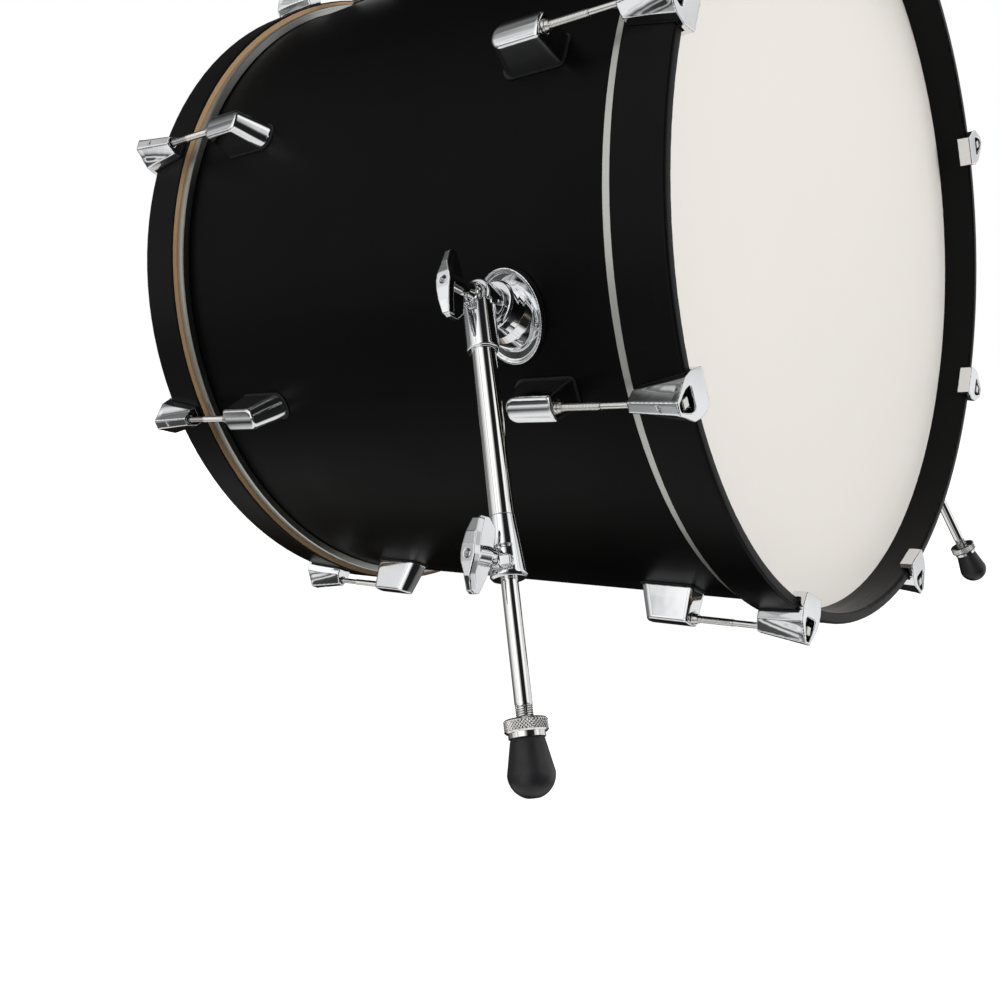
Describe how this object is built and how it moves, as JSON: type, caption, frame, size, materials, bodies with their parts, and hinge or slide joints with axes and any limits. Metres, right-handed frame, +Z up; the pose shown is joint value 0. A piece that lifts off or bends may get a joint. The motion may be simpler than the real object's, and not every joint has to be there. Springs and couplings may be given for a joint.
{
  "type": "bass drum",
  "caption": "Bass drum lying on its side: black shell, two heads held by wood hoops and claws, folding telescopic spurs.",
  "frame": {"origin": "centre of the underside of the box around the drum standing on its batter hoop and spur feet", "axes": "+Z up; -Y towards the front (resonant) head; +X towards the drummer's left; the drum axis leans 3.7 degrees, front raised"},
  "size_m": [0.8054, 0.558, 0.6146],
  "materials": {
    "shell_satin_black": "satin black wrap on a wood shell",
    "hoop_satin_black": "satin black lacquer on maple",
    "head_warm_white": "warm white coated film",
    "head_ring_aluminium": "satin aluminium",
    "chrome": "polished chrome plate on die-cast zinc",
    "tube_chrome": "polished chrome plate on steel tube",
    "rod_steel": "bright nickel plated steel",
    "knurled_chrome": "knurled chrome",
    "pad_black": "black rubber gasket",
    "foot_rubber": "moulded black rubber",
    "zinc_screw": "zinc plated steel",
    "vent_chrome": "chrome eyelet"
  },
  "bodies": {
    "drum": {"shell": "shell_satin_black", "vent_grommet": "vent_chrome", "front_head_film": "head_warm_white", "front_head_ring": "head_ring_aluminium", "front_hoop": "hoop_satin_black", "front_claws": "chrome", "front_lugs": "chrome", "batter_head_film": "head_warm_white", "batter_head_ring": "head_ring_aluminium", "batter_hoop": "hoop_satin_black", "batter_claws": "chrome", "batter_lugs": "chrome", "claw_pads": "pad_black", "lug_pads": "pad_black", "swivel_nuts": "rod_steel", "rod_washers": "rod_steel", "lug_screws": "zinc_screw", "lug_screw_washers": "zinc_screw", "spur_screws": "zinc_screw", "spur_screw_washers": "zinc_screw", "spur_pads": "pad_black", "right_spur_base": "chrome", "left_spur_base": "chrome"},
    "right_spur_leg": {"right_spur_leg_casting": "chrome", "right_spur_outer_tube": "tube_chrome", "right_spur_clamp_collar": "chrome", "right_spur_clamp_bolt": "chrome"},
    "right_pivot_wing_bolt": {"right_spur_pivot_wing_bolt": "chrome"},
    "right_clamp_wing": {"right_spur_clamp_wing": "chrome"},
    "right_spur_rod": {"right_spur_inner_rod": "tube_chrome"},
    "right_rubber_foot": {"right_spur_rubber_foot": "foot_rubber"},
    "right_lock_nut": {"right_spur_lock_nut": "knurled_chrome"},
    "left_spur_leg": {"left_spur_leg_casting": "chrome", "left_spur_outer_tube": "tube_chrome", "left_spur_clamp_collar": "chrome", "left_spur_clamp_bolt": "chrome"},
    "left_pivot_wing_bolt": {"left_spur_pivot_wing_bolt": "chrome"},
    "left_clamp_wing": {"left_spur_clamp_wing": "chrome"},
    "left_spur_rod": {"left_spur_inner_rod": "tube_chrome"},
    "left_rubber_foot": {"left_spur_rubber_foot": "foot_rubber"},
    "left_lock_nut": {"left_spur_lock_nut": "knurled_chrome"},
    "front_tension_rod_1": {"front_tension_rod_1": "rod_steel"},
    "front_tension_rod_2": {"front_tension_rod_2": "rod_steel"},
    "front_tension_rod_3": {"front_tension_rod_3": "rod_steel"},
    "front_tension_rod_4": {"front_tension_rod_4": "rod_steel"},
    "front_tension_rod_5": {"front_tension_rod_5": "rod_steel"},
    "front_tension_rod_6": {"front_tension_rod_6": "rod_steel"},
    "front_tension_rod_7": {"front_tension_rod_7": "rod_steel"},
    "front_tension_rod_8": {"front_tension_rod_8": "rod_steel"},
    "batter_tension_rod_1": {"batter_tension_rod_1": "rod_steel"},
    "batter_tension_rod_2": {"batter_tension_rod_2": "rod_steel"},
    "batter_tension_rod_3": {"batter_tension_rod_3": "rod_steel"},
    "batter_tension_rod_4": {"batter_tension_rod_4": "rod_steel"},
    "batter_tension_rod_5": {"batter_tension_rod_5": "rod_steel"},
    "batter_tension_rod_6": {"batter_tension_rod_6": "rod_steel"},
    "batter_tension_rod_7": {"batter_tension_rod_7": "rod_steel"},
    "batter_tension_rod_8": {"batter_tension_rod_8": "rod_steel"}
  },
  "joints": [
    {"name": "right_spur_fold", "type": "hinge", "parent": "drum", "child": "right_spur_leg", "pos_m": [-0.30898, -0.13368, 0.27002], "axis": [0.9563, -0.0189, -0.2918], "range_deg": [-15, 108]},
    {"name": "right_pivot_wing_turn", "type": "hinge", "parent": "drum", "child": "right_pivot_wing_bolt", "pos_m": [-0.30898, -0.13368, 0.27002], "axis": [-0.9563, 0.0189, 0.2918], "continuous": true},
    {"name": "right_clamp_wing_turn", "type": "hinge", "parent": "right_spur_leg", "child": "right_clamp_wing", "pos_m": [-0.35651, -0.19879, 0.11842], "axis": [-0.9609, 0.1155, 0.2517], "continuous": true},
    {"name": "right_spur_rod_slide", "type": "slide", "parent": "right_spur_leg", "child": "right_spur_rod", "axis": [-0.2769, -0.3792, -0.8829], "range_m": [-0.07, 0.045]},
    {"name": "right_foot_screw_up", "type": "slide", "parent": "right_spur_rod", "child": "right_rubber_foot", "axis": [0.2769, 0.3792, 0.8829], "range_m": [0, 0.007]},
    {"name": "right_lock_nut_turn", "type": "hinge", "parent": "right_rubber_foot", "child": "right_lock_nut", "pos_m": [-0.38951, -0.24399, 0.0132], "axis": [-0.2769, -0.3792, -0.8829], "continuous": true},
    {"name": "left_spur_fold", "type": "hinge", "parent": "drum", "child": "left_spur_leg", "pos_m": [0.30898, -0.13368, 0.27002], "axis": [0.9563, 0.0189, 0.2918], "range_deg": [-15, 108]},
    {"name": "left_pivot_wing_turn", "type": "hinge", "parent": "drum", "child": "left_pivot_wing_bolt", "pos_m": [0.30898, -0.13368, 0.27002], "axis": [0.9563, 0.0189, 0.2918], "continuous": true},
    {"name": "left_clamp_wing_turn", "type": "hinge", "parent": "left_spur_leg", "child": "left_clamp_wing", "pos_m": [0.35651, -0.19879, 0.11842], "axis": [0.9609, 0.1155, 0.2517], "continuous": true},
    {"name": "left_spur_rod_slide", "type": "slide", "parent": "left_spur_leg", "child": "left_spur_rod", "axis": [0.2769, -0.3792, -0.8829], "range_m": [-0.07, 0.045]},
    {"name": "left_foot_screw_up", "type": "slide", "parent": "left_spur_rod", "child": "left_rubber_foot", "axis": [-0.2769, 0.3792, 0.8829], "range_m": [0, 0.007]},
    {"name": "left_lock_nut_turn", "type": "hinge", "parent": "left_rubber_foot", "child": "left_lock_nut", "pos_m": [0.38951, -0.24399, 0.0132], "axis": [0.2769, -0.3792, -0.8829], "continuous": true},
    {"name": "front_rod_1_turn", "type": "hinge", "parent": "drum", "child": "front_tension_rod_1", "pos_m": [0.1158, -0.24172, 0.60309], "axis": [0, -0.9979, 0.0645], "continuous": true},
    {"name": "front_rod_2_turn", "type": "hinge", "parent": "drum", "child": "front_tension_rod_2", "pos_m": [0.27957, -0.25228, 0.43966], "axis": [0, -0.9979, 0.0645], "continuous": true},
    {"name": "front_rod_3_turn", "type": "hinge", "parent": "drum", "child": "front_tension_rod_3", "pos_m": [0.27957, -0.26723, 0.20855], "axis": [0, -0.9979, 0.0645], "continuous": true},
    {"name": "front_rod_4_turn", "type": "hinge", "parent": "drum", "child": "front_tension_rod_4", "pos_m": [0.1158, -0.2778, 0.04512], "axis": [0, -0.9979, 0.0645], "continuous": true},
    {"name": "front_rod_5_turn", "type": "hinge", "parent": "drum", "child": "front_tension_rod_5", "pos_m": [-0.1158, -0.2778, 0.04512], "axis": [0, -0.9979, 0.0645], "continuous": true},
    {"name": "front_rod_6_turn", "type": "hinge", "parent": "drum", "child": "front_tension_rod_6", "pos_m": [-0.27957, -0.26723, 0.20855], "axis": [0, -0.9979, 0.0645], "continuous": true},
    {"name": "front_rod_7_turn", "type": "hinge", "parent": "drum", "child": "front_tension_rod_7", "pos_m": [-0.27957, -0.25228, 0.43966], "axis": [0, -0.9979, 0.0645], "continuous": true},
    {"name": "front_rod_8_turn", "type": "hinge", "parent": "drum", "child": "front_tension_rod_8", "pos_m": [-0.1158, -0.24172, 0.60309], "axis": [0, -0.9979, 0.0645], "continuous": true},
    {"name": "batter_rod_1_turn", "type": "hinge", "parent": "drum", "child": "batter_tension_rod_1", "pos_m": [0.1158, 0.2778, 0.56949], "axis": [0, 0.9979, -0.0645], "continuous": true},
    {"name": "batter_rod_2_turn", "type": "hinge", "parent": "drum", "child": "batter_tension_rod_2", "pos_m": [0.27957, 0.26723, 0.40607], "axis": [0, 0.9979, -0.0645], "continuous": true},
    {"name": "batter_rod_3_turn", "type": "hinge", "parent": "drum", "child": "batter_tension_rod_3", "pos_m": [0.27957, 0.25228, 0.17495], "axis": [0, 0.9979, -0.0645], "continuous": true},
    {"name": "batter_rod_4_turn", "type": "hinge", "parent": "drum", "child": "batter_tension_rod_4", "pos_m": [0.1158, 0.24172, 0.01153], "axis": [0, 0.9979, -0.0645], "continuous": true},
    {"name": "batter_rod_5_turn", "type": "hinge", "parent": "drum", "child": "batter_tension_rod_5", "pos_m": [-0.1158, 0.24172, 0.01153], "axis": [0, 0.9979, -0.0645], "continuous": true},
    {"name": "batter_rod_6_turn", "type": "hinge", "parent": "drum", "child": "batter_tension_rod_6", "pos_m": [-0.27957, 0.25228, 0.17495], "axis": [0, 0.9979, -0.0645], "continuous": true},
    {"name": "batter_rod_7_turn", "type": "hinge", "parent": "drum", "child": "batter_tension_rod_7", "pos_m": [-0.27957, 0.26723, 0.40607], "axis": [0, 0.9979, -0.0645], "continuous": true},
    {"name": "batter_rod_8_turn", "type": "hinge", "parent": "drum", "child": "batter_tension_rod_8", "pos_m": [-0.1158, 0.2778, 0.56949], "axis": [0, 0.9979, -0.0645], "continuous": true}
  ]
}
